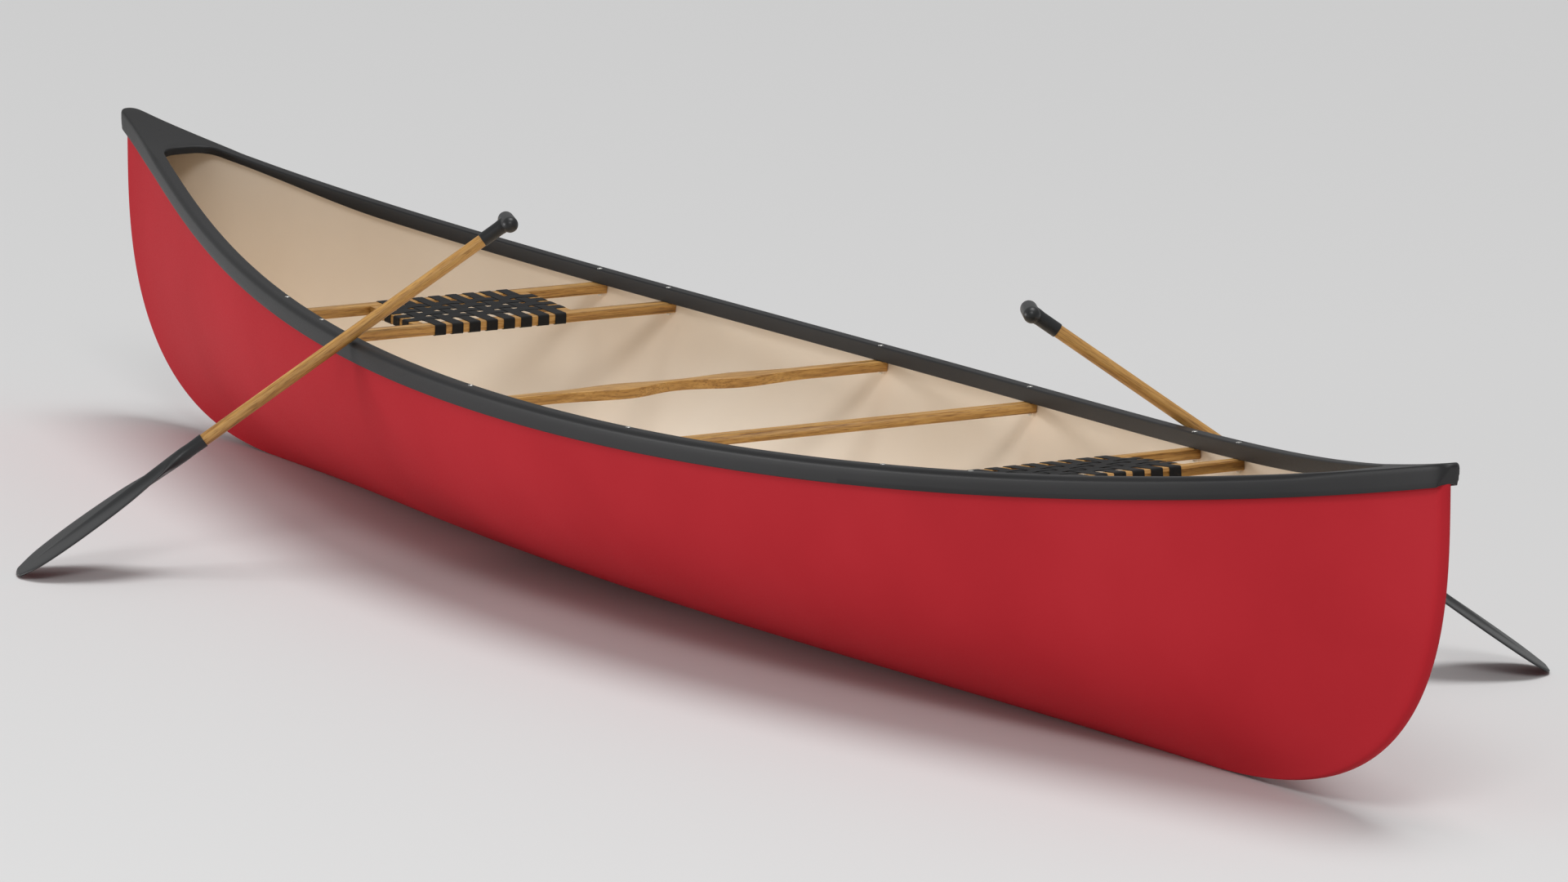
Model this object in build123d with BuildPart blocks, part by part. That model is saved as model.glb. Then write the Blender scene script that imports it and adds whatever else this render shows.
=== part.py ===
"""A tandem canoe of moulded plastic with vinyl gunwales and decks, ash crossbars, two webbed seats and
two paddles that lean on it. Millimetres, +X to the bow, +Y to port, +Z up. The origin is on the flat of
the keel, midway between the ends."""
import os
from math import atan2, cos, sin, sqrt

from build123d import *

os.makedirs("parts", exist_ok=True)

# Hull: plan, sheer and stems
HALF_LENGTH = 2490        # centre to a deck's tip
HALF_BEAM = 484           # centre to the outer edge of a gunwale
NOSE = 20                 # rounding of a deck's tip, seen from above
PLAN_POWER = 2.02         # how full the plan is amidships
PLAN_FINENESS = 1.24      # how fine it runs out at the ends
DEPTH_MID = 438           # floor to the top of the gunwale amidships
DEPTH_END = 655           # floor to the top of a deck's tip
SHEER_POWER = 2.03        # how the sheer rises along the hull
SHEER_KICK = 0.21         # share of the rise that comes late, near the ends
OVERHANG = 20             # how far a deck's tip stands past the stem
LIP = 8                   # how far the gunwale stands out from the hull
STEM_NOSE = 13            # rounding of the stem, seen from above
STEM_RAKE = 760           # length of the curve from keel to stem
STEM_TOP = 576            # height where the stem becomes upright
STEM_POWER = 2.7
KEEL_FLAT = 36            # half width of the flat that the canoe rests on
BILGE_FULLNESS = 2.4
BILGE_ROUND = 1.5
SKIN = 4                  # red outer skin
LINER = 2                 # pale inner layer
CLEAR = 1                 # gap between the liner and a crossbar, and between the hull and a deck
LEVELS = (0, 3, 9, 20, 38, 66, 105, 160, 225, 295, 365, 438, 510, 576, 640, 700)
STATIONS = (0, 0.21, 0.42, 0.6, 0.74, 0.84, 0.91, 0.955, 0.982, 0.994, 0.998, 0.9995, 1)

# Gunwales and decks
RAIL_WIDTH = 32
RAIL_OUTER = 40           # height of the outer face
RAIL_INNER = 30           # height of the inner face
RAIL_CROWN = 6            # plastic above the hull's edge
RAIL_ROUND = 5
DECK_START = 2120         # where the deck moulding meets the gunwales
DECK_EDGE = 2215          # end of the cockpit
DECK_CORNER = 18
DECK_WALL = 6
DECK_LIP = 16             # turned-down edge of the deck, at the cockpit

# Crossbars and their bolts
BAR_WIDTH = 30
BAR_DEPTH = 20
BAR_EASE = 2.5
BOW_SEAT = (1058, 841)    # places of a seat's two bars along the hull
YOKE = 117
YOKE_FORE = ((0, 14), (60, 19), (130, 27), (210, 18), (300, 15))
YOKE_AFT = ((0, -3), (45, -11), (110, -33), (180, -29), (250, -17), (320, -15))
THWART = -458
STERN_SEAT = (-1190, -1409)
BOLT_RADIUS = 2.5
HEAD_RADIUS = 5.5
HEAD_SUNK = 2
HEAD_PROUD = 1
BOLT_INSET = 24           # gunwale's outer edge to the bolt
BOLT_TAIL = 8
WASHER_RADIUS = 5
WASHER = 1.2
WASHER_DROP = 0.8         # a crossbar is tilted a little, its washers are level
NUT_RADIUS = 4.6
NUT = 4.5
HOLE_PLAY = 0.1

# Seat rails and webbing
RAIL_CENTRE = 169
SIDE_RAIL = (22, 18)      # width and depth
DOWEL_RADIUS = 4
DOWEL_LENGTH = 36
STRAP = 25                # webbing width
STRAP_THICK = 1.6
LONG_STRAPS = 8
LONG_PITCH = 39.3
CROSS_STRAPS = 4
CROSS_PITCH = 37.5
STRAP_TAB = 20            # how far a strap runs back under the wood

# Paddles
SHAFT_RADIUS = 12.5
SLEEVE_RADIUS = 14
SLEEVE_LENGTH = 62
SOCKET_DEPTH = 40
GRIP_RADIUS = 16
GRIP_HALF = 34
BLADE_LENGTH = 400
BLADE_THICK = 6
BLADE_OUTLINE = ((0, 0), (14, 46), (60, 80), (150, 92), (260, 78), (345, 36), (BLADE_LENGTH, 12))
SPINE_PROFILE = ((16, 1.5), (160, 6), (320, 11), (BLADE_LENGTH, 14))
SOCKET_RUN = 50
TIP_LIFT = 2.8
PORT_PADDLE = ((870, 1060), (505, 161, 679))         # tip on the floor, middle of the grip
STARBOARD_PADDLE = ((-1399, -989), (-949, -129, 683))


def plan_breadth(x, half_length, half_beam, nose):
    """Half breadth at x of a pointed plan with a round nose."""
    t = min(abs(x) / half_length, 1.0)
    body = (half_beam - nose) * (1 - t**PLAN_POWER) ** PLAN_FINENESS
    return body + nose * sqrt(1 - t ** (2 * half_length / nose))


def rail_edge(x):
    """Outer edge of the gunwale at x."""
    return plan_breadth(x, HALF_LENGTH, HALF_BEAM, NOSE)


def sheer(x):
    """Top of the gunwale at x."""
    t = abs(x) / HALF_LENGTH
    rise = (1 - SHEER_KICK) * t**SHEER_POWER + SHEER_KICK * t ** (2 * SHEER_POWER)
    return DEPTH_MID + (DEPTH_END - DEPTH_MID) * rise


def section_breadth(level):
    """Half breadth of the midship section at a height."""
    rise = min(level / DEPTH_MID, 1.0)
    curve = (1 - (1 - rise) ** BILGE_FULLNESS) ** (1 / BILGE_ROUND)
    return KEEL_FLAT + (HALF_BEAM - LIP - KEEL_FLAT) * curve


def stem_reach(level):
    """How far from the centre the stem is at a height."""
    drop = max(1 - level / STEM_TOP, 0.0)
    return HALF_LENGTH - OVERHANG - STEM_RAKE * (1 - (1 - drop**STEM_POWER) ** (1 / STEM_POWER))


def mirrored_stations(reach):
    return [-s * reach for s in reversed(STATIONS[1:])] + [s * reach for s in STATIONS]


def waterline_points(level, inset):
    """Port side of one waterline, moved in by the inset."""
    reach = stem_reach(level) - inset
    breadth = section_breadth(level) - inset
    return [(x, plan_breadth(x, reach, breadth, STEM_NOSE - inset)) for x in mirrored_stations(reach)]


def waterline_pace():
    """Shares of the way along a middle waterline at its points, the same for every waterline."""
    points = [Vector(x, y) for x, y in waterline_points(DEPTH_MID / 2, 0)]
    runs = [0.0]
    for a, b in zip(points, points[1:]):
        runs.append(runs[-1] + (b - a).length)
    return [run / runs[-1] for run in runs]


WATERLINE_PACE = waterline_pace()


def hull_form(inset):
    """Solid inside the hull's surface, moved in by the inset, from the keel to above the sheer."""
    with BuildPart() as form:
        for level in LEVELS:
            with BuildSketch(Plane.XY.offset(level + inset)):
                with BuildLine():
                    points = [Vector(x, y) for x, y in waterline_points(level, inset)]
                    add(Edge.make_spline(points, parameters=WATERLINE_PACE))
                    mirror(about=Plane.XZ)
                make_face()
        loft()
    return form.part


def sheer_points(drop, reach):
    """The sheer line, lowered by the drop, on the side view."""
    return [(reach * i / 12, sheer(reach * i / 12) - drop) for i in range(-12, 13)]


def sheer_band(top, bottom):
    """Everything between two lines that follow the sheer, at the drops given."""
    reach = HALF_LENGTH + 40
    with BuildPart() as band:
        with BuildSketch(Plane.XZ):
            with BuildLine():
                upper = Spline(*sheer_points(top, reach))
                lower = Spline(*sheer_points(bottom, reach))
                Line(upper @ 0, lower @ 0)
                Line(upper @ 1, lower @ 1)
            make_face()
        extrude(amount=HALF_BEAM + 40, both=True)
    return band.part


def edge_strip(start, end, outer_inset, inner_inset):
    """Upright strip along the port gunwale, between two insets from its outer edge."""
    places = [start + (end - start) * i / 16 for i in range(17)]
    with BuildPart() as strip:
        with BuildSketch(Plane.XY.offset(DEPTH_MID - 60)):
            with BuildLine():
                outer = Spline(*[(x, rail_edge(x) - outer_inset) for x in places])
                inner = Spline(*[(x, rail_edge(x) - inner_inset) for x in places])
                Line(outer @ 0, inner @ 0)
                Line(outer @ 1, inner @ 1)
            make_face()
        extrude(amount=DEPTH_END - DEPTH_MID + 80)
    return strip.part


def tilted(x, height, slope):
    """Plane whose x runs fore and aft along the sheer's slope and whose y runs across the hull."""
    return Plane(origin=(x, 0, height), x_dir=(cos(slope), 0, sin(slope)), z_dir=(-sin(slope), 0, cos(slope)))


def bar_plane(x):
    """Top of a single crossbar, against the underside of the gunwales."""
    slope = atan2(sheer(x + 10) - sheer(x - 10), 20)
    return tilted(x, sheer(x) - RAIL_INNER, slope)


def seat_plane(bars):
    """Top of a seat's wood, midway between its two bars."""
    rear, front = sorted(bars)
    slope = atan2(sheer(front) - sheer(rear), front - rear)
    return tilted((front + rear) / 2, (sheer(front) + sheer(rear)) / 2 - RAIL_INNER, slope)


def bolt_places():
    """Every bolt through a gunwale and the end of a crossbar: x and y."""
    bars = [*BOW_SEAT, YOKE, THWART, *STERN_SEAT]
    return [(x, side * (rail_edge(x) - BOLT_INSET)) for x in bars for side in (1, -1)]


def bolt_holes():
    """Clearance for the bolts and seats for their heads."""
    with BuildPart() as holes:
        for x, y in bolt_places():
            with Locations((x, y, sheer(x) - RAIL_INNER - BAR_DEPTH)):
                Cylinder(BOLT_RADIUS + HOLE_PLAY, 2 * (RAIL_INNER + BAR_DEPTH))
            with Locations((x, y, sheer(x) - HEAD_SUNK)):
                Cylinder(HEAD_RADIUS + HOLE_PLAY, 12, align=(Align.CENTER, Align.CENTER, Align.MIN))
    return holes.part


hull_space = hull_form(SKIN + LINER)
cockpit = hull_form(SKIN + LINER + CLEAR)
liner_space = hull_form(SKIN)
hull_body = hull_form(0)
above_hull = sheer_band(-DEPTH_END, RAIL_CROWN)
rail_band = sheer_band(0, RAIL_OUTER)
lip_band = sheer_band(1, DECK_LIP)
holes = bolt_holes()

with BuildPart() as hull_shell:
    add(hull_body)
    add(liner_space, mode=Mode.SUBTRACT)
    add(above_hull, mode=Mode.SUBTRACT)
hull_shell.part.label = "hull_shell"
export_step(hull_shell.part, "parts/hull_shell.step")

with BuildPart() as hull_liner:
    add(liner_space)
    add(hull_space, mode=Mode.SUBTRACT)
    add(above_hull, mode=Mode.SUBTRACT)
hull_liner.part.label = "hull_liner"
export_step(hull_liner.part, "parts/hull_liner.step")


def save(part, name):
    """Name a finished piece and write its file."""
    part.label = name
    export_step(part, f"parts/{name}.step")


with BuildPart() as gunwale_port:
    add(edge_strip(-DECK_START, DECK_START, 0, RAIL_WIDTH))
    add(rail_band, mode=Mode.INTERSECT)
    corners = [e for e in gunwale_port.edges() if e.length > DECK_START]
    top_corners = [e for e in corners if e.center().Z > DEPTH_MID - RAIL_OUTER / 2]
    fillet(top_corners, RAIL_ROUND)
    add(edge_strip(-DECK_START - 1, DECK_START + 1, LIP + 4, RAIL_WIDTH + 2)
        & sheer_band(RAIL_INNER, RAIL_OUTER + 2), mode=Mode.SUBTRACT)
    add(hull_shell.part, mode=Mode.SUBTRACT)
    add(hull_liner.part, mode=Mode.SUBTRACT)
    add(holes, mode=Mode.SUBTRACT)
save(gunwale_port.part, "gunwale_port")

with BuildPart() as gunwale_starboard:
    add(gunwale_port.part.mirror(Plane.XZ))
save(gunwale_starboard.part, "gunwale_starboard")


def deck_opening(grow):
    """Plan of the cockpit's end at the bow, made larger by the growth."""
    with BuildSketch() as opening:
        with BuildLine():
            reach = DECK_EDGE + grow
            places = [DECK_START - 20 + (reach - DECK_START + 20) * i / 6 for i in range(7)]
            side = Spline(*[(x, rail_edge(x) - RAIL_WIDTH + grow) for x in places])
            Line(side @ 0, (places[0], 0))
            Line(side @ 1, (reach, 0))
            mirror(about=Plane.XZ)
        make_face()
        fillet(opening.vertices().group_by(Axis.X)[-1].filter_by(lambda v: abs(v.Y) > 1), DECK_CORNER + grow)
    return opening.sketch


def bow_deck_plate():
    """Moulded deck: a top plate, a skirt round the hull and a turned-down lip at the cockpit."""
    hull_block = hull_form(-CLEAR) - sheer_band(-DEPTH_END, RAIL_CROWN - CLEAR)
    opening = deck_opening(0)
    lip_outline = deck_opening(DECK_WALL)
    with BuildPart() as deck:
        with BuildSketch(Plane.XY.offset(DEPTH_MID)):
            with BuildLine():
                places = [DECK_START] + [x for x in mirrored_stations(HALF_LENGTH) if x > DECK_START]
                edge = Spline(*[(x, rail_edge(x)) for x in places])
                Line(edge @ 0, (DECK_START, 0))
                mirror(about=Plane.XZ)
            make_face()
            add(opening, mode=Mode.SUBTRACT)
        extrude(amount=DEPTH_END)
        add(rail_band, mode=Mode.INTERSECT)
        with BuildSketch(Plane.XZ):
            with Locations((HALF_LENGTH, DEPTH_END)):
                Polygon((4, -8), (4, -80), (-38, -80), align=None)
        extrude(amount=NOSE * 3, both=True, mode=Mode.SUBTRACT)
        add(hull_block, mode=Mode.SUBTRACT)
        with BuildSketch(Plane.XY.offset(DEPTH_MID)):
            add(lip_outline)
            add(opening, mode=Mode.SUBTRACT)
            with Locations((DECK_START - 50, 0)):
                Rectangle(100, HALF_BEAM, mode=Mode.SUBTRACT)
        lip = extrude(amount=DEPTH_END, mode=Mode.PRIVATE)
        add(lip & lip_band)
    return deck.part


bow_deck = bow_deck_plate()
save(bow_deck, "bow_deck")

with BuildPart() as stern_deck:
    add(bow_deck.mirror(Plane.YZ))
save(stern_deck.part, "stern_deck")


def bar_blank(plane, place):
    """Straight crossbar with its edges eased, long enough to be cut to the hull."""
    with BuildPart() as blank:
        with BuildSketch(plane):
            with Locations((place, 0)):
                Rectangle(BAR_WIDTH, 2 * HALF_BEAM)
        extrude(amount=-BAR_DEPTH)
        fillet(blank.edges().filter_by(Axis.Y), BAR_EASE)
    return blank.part


def dowels(plane, half):
    """Four dowels that hold a seat's side rails to its bars."""
    with BuildPart() as pegs:
        for end in (-1, 1):
            spot = plane.offset(-STRAP_THICK - SIDE_RAIL[1] / 2)
            face = Plane(origin=spot.origin + spot.x_dir * end * half, x_dir=spot.y_dir, z_dir=spot.x_dir)
            with BuildSketch(face):
                with Locations((-RAIL_CENTRE, 0), (RAIL_CENTRE, 0)):
                    Circle(DOWEL_RADIUS)
            extrude(amount=DOWEL_LENGTH / 2, both=True)
    return pegs.part


def seat_half(bars):
    """Half the distance between a seat's bars, measured along the seat."""
    rear, front = sorted(bars)
    return sqrt((front - rear) ** 2 + (sheer(front) - sheer(rear)) ** 2) / 2


def wrap(half, top, depth):
    """Side view of a strap pulled over two pieces of wood and tacked under them."""
    with BuildSketch() as profile:
        with Locations((0, top - STRAP_THICK - depth / 2)):
            Rectangle(2 * (half + STRAP_THICK), depth + 2 * STRAP_THICK)
            Rectangle(2 * half, depth, mode=Mode.SUBTRACT)
        with Locations((0, top - depth - 1.5 * STRAP_THICK)):
            Rectangle(2 * (half - STRAP_TAB), 2 * STRAP_THICK, mode=Mode.SUBTRACT)
    return profile.sketch


def long_straps(plane, half):
    """Straps that run fore and aft over both bars."""
    profile = wrap(half + BAR_WIDTH / 2, STRAP_THICK, BAR_DEPTH)
    with BuildPart() as straps:
        for i in range(LONG_STRAPS):
            y = (i - (LONG_STRAPS - 1) / 2) * LONG_PITCH
            face = Plane(origin=plane.origin + plane.y_dir * y, x_dir=plane.x_dir, z_dir=-plane.y_dir)
            with BuildSketch(face):
                add(profile)
            extrude(amount=STRAP / 2, both=True)
    return straps.part


def cross_straps(plane):
    """Straps that run across, over both side rails and under the long straps."""
    profile = wrap(RAIL_CENTRE + SIDE_RAIL[0] / 2, 0, SIDE_RAIL[1])
    with BuildPart() as straps:
        for i in range(CROSS_STRAPS):
            x = (i - (CROSS_STRAPS - 1) / 2) * CROSS_PITCH
            face = Plane(origin=plane.origin + plane.x_dir * x, x_dir=plane.y_dir, z_dir=plane.x_dir)
            with BuildSketch(face):
                add(profile)
            extrude(amount=STRAP / 2, both=True)
    return straps.part


def seat(bars, name):
    """Two crossbars, two side rails, their dowels and the webbing, each in its own node."""
    plane = seat_plane(bars)
    half = seat_half(bars)
    pegs = dowels(plane, half - BAR_WIDTH / 2)
    for place, end in ((half, "front_bar"), (-half, "rear_bar")):
        blank = bar_blank(plane, place)
        with BuildPart() as bar:
            add(blank)
            add(cockpit, mode=Mode.INTERSECT)
            add(holes, mode=Mode.SUBTRACT)
            add(pegs, mode=Mode.SUBTRACT)
        save(bar.part, f"{name}_{end}")
    for side, end in ((1, "port_rail"), (-1, "starboard_rail")):
        with BuildPart() as rail:
            with BuildSketch(plane.offset(-STRAP_THICK)):
                with Locations((0, side * RAIL_CENTRE)):
                    Rectangle(2 * half - BAR_WIDTH, SIDE_RAIL[0])
            extrude(amount=-SIDE_RAIL[1])
            add(pegs, mode=Mode.SUBTRACT)
        save(rail.part, f"{name}_{end}")
    save(pegs, f"{name}_dowels")
    save(long_straps(plane, half), f"{name}_long_straps")
    save(cross_straps(plane), f"{name}_cross_straps")


seat(BOW_SEAT, "bow_seat")
seat(STERN_SEAT, "stern_seat")

thwart_blank = bar_blank(bar_plane(THWART), 0)
with BuildPart() as thwart:
    add(thwart_blank)
    add(cockpit, mode=Mode.INTERSECT)
    add(holes, mode=Mode.SUBTRACT)
save(thwart.part, "thwart")


with BuildPart() as yoke:
    with BuildSketch(bar_plane(YOKE)):
        with BuildLine():
            fore = Spline(*[(x, y) for y, x in YOKE_FORE])
            aft = Spline(*[(x, y) for y, x in YOKE_AFT])
            Polyline(fore @ 1, (BAR_WIDTH / 2, HALF_BEAM), (-BAR_WIDTH / 2, HALF_BEAM), aft @ 1)
            mirror(about=Plane.XZ)
        make_face()
    extrude(amount=-BAR_DEPTH)
    add(cockpit, mode=Mode.INTERSECT)
    add(holes, mode=Mode.SUBTRACT)
save(yoke.part, "yoke")

with BuildPart() as gunwale_bolts:
    for x, y in bolt_places():
        bar_under = sheer(x) - RAIL_INNER - BAR_DEPTH
        with Locations((x, y, bar_under - BOLT_TAIL)):
            Cylinder(BOLT_RADIUS, sheer(x) - HEAD_SUNK - bar_under + BOLT_TAIL,
                     align=(Align.CENTER, Align.CENTER, Align.MIN))
        with Locations((x, y, sheer(x) - HEAD_SUNK)):
            Cylinder(HEAD_RADIUS, HEAD_SUNK + HEAD_PROUD, align=(Align.CENTER, Align.CENTER, Align.MIN))
    rims = [e for e in gunwale_bolts.edges().filter_by(GeomType.CIRCLE) if e.radius > BOLT_RADIUS + 1]
    tops = [e for e in rims if e.center().Z > sheer(e.center().X)]
    fillet(tops, HEAD_PROUD)
save(gunwale_bolts.part, "gunwale_bolts")

with BuildPart() as bolt_washers:
    for x, y in bolt_places():
        with Locations((x, y, sheer(x) - RAIL_INNER - BAR_DEPTH - WASHER_DROP)):
            Cylinder(WASHER_RADIUS, WASHER, align=(Align.CENTER, Align.CENTER, Align.MAX))
            Cylinder(BOLT_RADIUS + HOLE_PLAY, WASHER, align=(Align.CENTER, Align.CENTER, Align.MAX),
                     mode=Mode.SUBTRACT)
save(bolt_washers.part, "bolt_washers")

with BuildPart() as bolt_nuts:
    for x, y in bolt_places():
        under = sheer(x) - RAIL_INNER - BAR_DEPTH - WASHER_DROP - WASHER
        with BuildSketch(Plane.XY.offset(under)):
            with Locations((x, y)):
                RegularPolygon(NUT_RADIUS, 6)
                Circle(BOLT_RADIUS, mode=Mode.SUBTRACT)
        extrude(amount=-NUT)
save(bolt_nuts.part, "bolt_nuts")


def paddle_plane(ends):
    """Frame of a paddle: x from the tip to the grip, y across the blade and level, z out of its face."""
    tip = Vector(ends[0][0], ends[0][1], TIP_LIFT)
    along = (Vector(*ends[1]) - tip).normalized()
    across = Vector(0, 0, 1).cross(along).normalized()
    return Plane(origin=tip, x_dir=along, z_dir=along.cross(across)), (Vector(*ends[1]) - tip).length


def paddle_blade(plane):
    """Flat blade with a round spine on both faces and a socket for the shaft."""
    axis_plane = Plane(origin=plane.origin, x_dir=plane.x_dir, z_dir=-plane.y_dir)
    with BuildPart() as blade:
        with BuildSketch(plane):
            with BuildLine():
                Spline(*BLADE_OUTLINE)
                Line((BLADE_LENGTH, SLEEVE_RADIUS - 2), (BLADE_LENGTH, 0))
                mirror(about=Plane.XZ)
            make_face()
        extrude(amount=BLADE_THICK / 2, both=True)
        with BuildSketch(axis_plane):
            with BuildLine():
                spine = Spline(*SPINE_PROFILE)
                end = (BLADE_LENGTH + SOCKET_RUN, SLEEVE_RADIUS)
                Polyline(spine @ 1, end, (end[0], 0), (SPINE_PROFILE[0][0], 0), spine @ 0)
            make_face()
        revolve(axis=Axis(plane.origin, plane.x_dir))
        with BuildSketch(plane_across(plane, BLADE_LENGTH + SOCKET_RUN)):
            Circle(SHAFT_RADIUS)
        extrude(amount=-SOCKET_DEPTH, mode=Mode.SUBTRACT)
    return blade.part


def plane_across(plane, distance):
    """Plane square to a paddle's axis at a distance from its tip."""
    return Plane(origin=plane.origin + plane.x_dir * distance, x_dir=plane.y_dir, z_dir=plane.x_dir)


def paddle_grip(plane, length):
    """Crossbar grip with round ends on a sleeve for the shaft."""
    centre = plane.origin + plane.x_dir * length
    with BuildPart() as grip:
        with BuildSketch(plane_across(plane, length - SLEEVE_LENGTH)):
            Circle(SLEEVE_RADIUS)
        extrude(amount=SLEEVE_LENGTH)
        with BuildSketch(Plane(origin=centre - plane.y_dir * GRIP_HALF, x_dir=plane.x_dir, z_dir=plane.y_dir)):
            Circle(GRIP_RADIUS)
        extrude(amount=2 * GRIP_HALF)
        for side in (-1, 1):
            with Locations(Location(centre + plane.y_dir * GRIP_HALF * side)):
                Sphere(GRIP_RADIUS)
        with BuildSketch(plane_across(plane, length - SLEEVE_LENGTH)):
            Circle(SHAFT_RADIUS)
        extrude(amount=SOCKET_DEPTH, mode=Mode.SUBTRACT)
    return grip.part


def paddle(ends, name):
    """Blade, wooden shaft and grip of one paddle, each in its own node."""
    plane, length = paddle_plane(ends)
    shaft_start = BLADE_LENGTH + SOCKET_RUN - SOCKET_DEPTH
    shaft_end = length - SLEEVE_LENGTH + SOCKET_DEPTH
    with BuildPart() as shaft:
        with BuildSketch(plane_across(plane, shaft_start)):
            Circle(SHAFT_RADIUS)
        extrude(amount=shaft_end - shaft_start)
    save(shaft.part, f"{name}_shaft")
    save(paddle_blade(plane), f"{name}_blade")
    save(paddle_grip(plane, length), f"{name}_grip")


paddle(PORT_PADDLE, "port_paddle")
paddle(STARBOARD_PADDLE, "starboard_paddle")
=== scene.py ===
"""The looks of the canoe: moulded hull, vinyl gunwales and decks, ash crossbars, webbed seats and two
paddles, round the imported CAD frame. Lengths are in metres, +X to the bow, +Y to port, +Z up."""

from math import atan2, cos, pi, radians, sin, sqrt

import bpy
from mathutils import Matrix, Vector


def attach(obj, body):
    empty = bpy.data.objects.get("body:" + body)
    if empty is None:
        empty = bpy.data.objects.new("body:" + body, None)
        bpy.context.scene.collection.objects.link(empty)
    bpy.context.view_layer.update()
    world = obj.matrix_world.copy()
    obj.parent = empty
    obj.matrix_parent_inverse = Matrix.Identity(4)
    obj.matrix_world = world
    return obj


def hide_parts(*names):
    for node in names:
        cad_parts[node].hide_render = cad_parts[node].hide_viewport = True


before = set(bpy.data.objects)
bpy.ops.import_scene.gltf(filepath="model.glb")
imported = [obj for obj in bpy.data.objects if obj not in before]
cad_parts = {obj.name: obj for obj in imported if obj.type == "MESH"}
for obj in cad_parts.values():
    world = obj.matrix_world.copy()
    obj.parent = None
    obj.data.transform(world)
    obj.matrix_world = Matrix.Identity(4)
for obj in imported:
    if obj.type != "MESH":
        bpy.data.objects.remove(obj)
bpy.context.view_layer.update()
MM = 0.001

# Hull, as in the part's source
HALF_LENGTH = 2.490
HALF_BEAM = 0.484
NOSE = 0.020
PLAN_POWER = 2.02
PLAN_FINENESS = 1.24
DEPTH_MID = 0.438
DEPTH_END = 0.655
SHEER_POWER = 2.03
SHEER_KICK = 0.21
STEM_AT = 2.470
LIP = 0.008
STEM_NOSE = 0.013
STEM_RAKE = 0.760
STEM_TOP = 0.576
STEM_POWER = 2.7
KEEL_FLAT = 0.036
BILGE_FULLNESS = 2.4
BILGE_ROUND = 1.5
SKIN = 0.004
LINER = 0.002
RAIL_WIDTH = 0.032
RAIL_OUTER = 0.040
RAIL_INNER = 0.030
RAIL_CROWN = 0.006
DECK_START = 2.120
DECK_EDGE = 2.215
DECK_CORNER = 0.040
DECK_LIP = 0.016
LIP_TAPER = 1.700

# Seats and webbing
BOW_SEAT = (1.058, 0.841)
STERN_SEAT = (-1.190, -1.409)
BAR_WIDTH = 0.030
BAR_DEPTH = 0.020
SIDE_RAIL_CENTRE = 0.169
SIDE_RAIL = (0.022, 0.018)
STRAP = 0.025
STRAP_THICK = 0.0016
LONG_STRAPS = 8
LONG_PITCH = 0.0393
CROSS_STRAPS = 4
CROSS_PITCH = 0.0375
STRAP_TAB = 0.020

# Paddles: tip on the floor, middle of the grip
PADDLES = {
    "port_paddle": ((0.870, 1.060, 0.0028), (0.505, 0.161, 0.679)),
    "starboard_paddle": ((-1.399, -0.989, 0.0028), (-0.949, -0.129, 0.683)),
}
SHAFT_RADIUS = 0.0125
SLEEVE_RADIUS = 0.014
SLEEVE_LENGTH = 0.062
GRIP_RADIUS = 0.016
GRIP_HALF = 0.034
BLADE_LENGTH = 0.400
SOCKET_RUN = 0.050
SHAFT_OVERLAP = 0.002


# ---------------------------------------------------------------- small helpers

def clear_selection():
    """Leave edit mode and deselect everything, so that an operator acts on one piece."""
    if bpy.context.object and bpy.context.object.mode != "OBJECT":
        bpy.ops.object.mode_set(mode="OBJECT")
    bpy.ops.object.select_all(action="DESELECT")


def pick(piece):
    clear_selection()
    piece.select_set(True)
    bpy.context.view_layer.objects.active = piece


def name_piece(name):
    piece = bpy.context.object
    piece.name = name
    piece.data.name = name
    return piece


def apply_modifier(piece, kind, **settings):
    """Add a modifier with its settings and apply it."""
    pick(piece)
    modifier = piece.modifiers.new(kind.title(), kind)
    for key, value in settings.items():
        setattr(modifier, key, value)
    bpy.ops.object.modifier_apply(modifier=modifier.name)


def tidy_mesh(piece, gap=0.00002):
    """Merge doubles and point every face outwards."""
    pick(piece)
    bpy.ops.object.mode_set(mode="EDIT")
    bpy.ops.mesh.select_all(action="SELECT")
    bpy.ops.mesh.remove_doubles(threshold=gap)
    bpy.ops.mesh.normals_make_consistent(inside=False)
    bpy.ops.object.mode_set(mode="OBJECT")


def smooth(piece, angle=35):
    pick(piece)
    bpy.ops.object.shade_smooth_by_angle(angle=radians(angle))


def shaped_grid(name, along, around, place):
    """A flat grid whose corners are then moved to where place(u, v) says, u and v from -1 to 1."""
    clear_selection()
    bpy.ops.mesh.primitive_grid_add(x_subdivisions=along, y_subdivisions=around, size=2)
    piece = name_piece(name)
    for vertex in piece.data.vertices:
        vertex.co = place(vertex.co.x, vertex.co.y)
    return piece


def joined(pieces, name):
    """One piece made of several."""
    clear_selection()
    for piece in pieces:
        piece.select_set(True)
    bpy.context.view_layer.objects.active = pieces[0]
    bpy.ops.object.join()
    return name_piece(name)


def finish_piece(piece, body, material, slot, *nodes):
    """Give a piece its material and its body, and hide the CAD nodes that it stands for. The slot is not
    used.
    """
    piece.data.materials.clear()
    piece.data.materials.append(material)
    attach(piece, body)
    if nodes:
        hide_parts(*nodes)


# ---------------------------------------------------------------- materials

def srgb(code):
    """Linear colour of an sRGB hex value."""
    channels = [int(code[i:i + 2], 16) / 255 for i in (1, 3, 5)]
    return [c / 12.92 if c <= 0.04045 else ((c + 0.055) / 1.055) ** 2.4 for c in channels] + [1.0]


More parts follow.
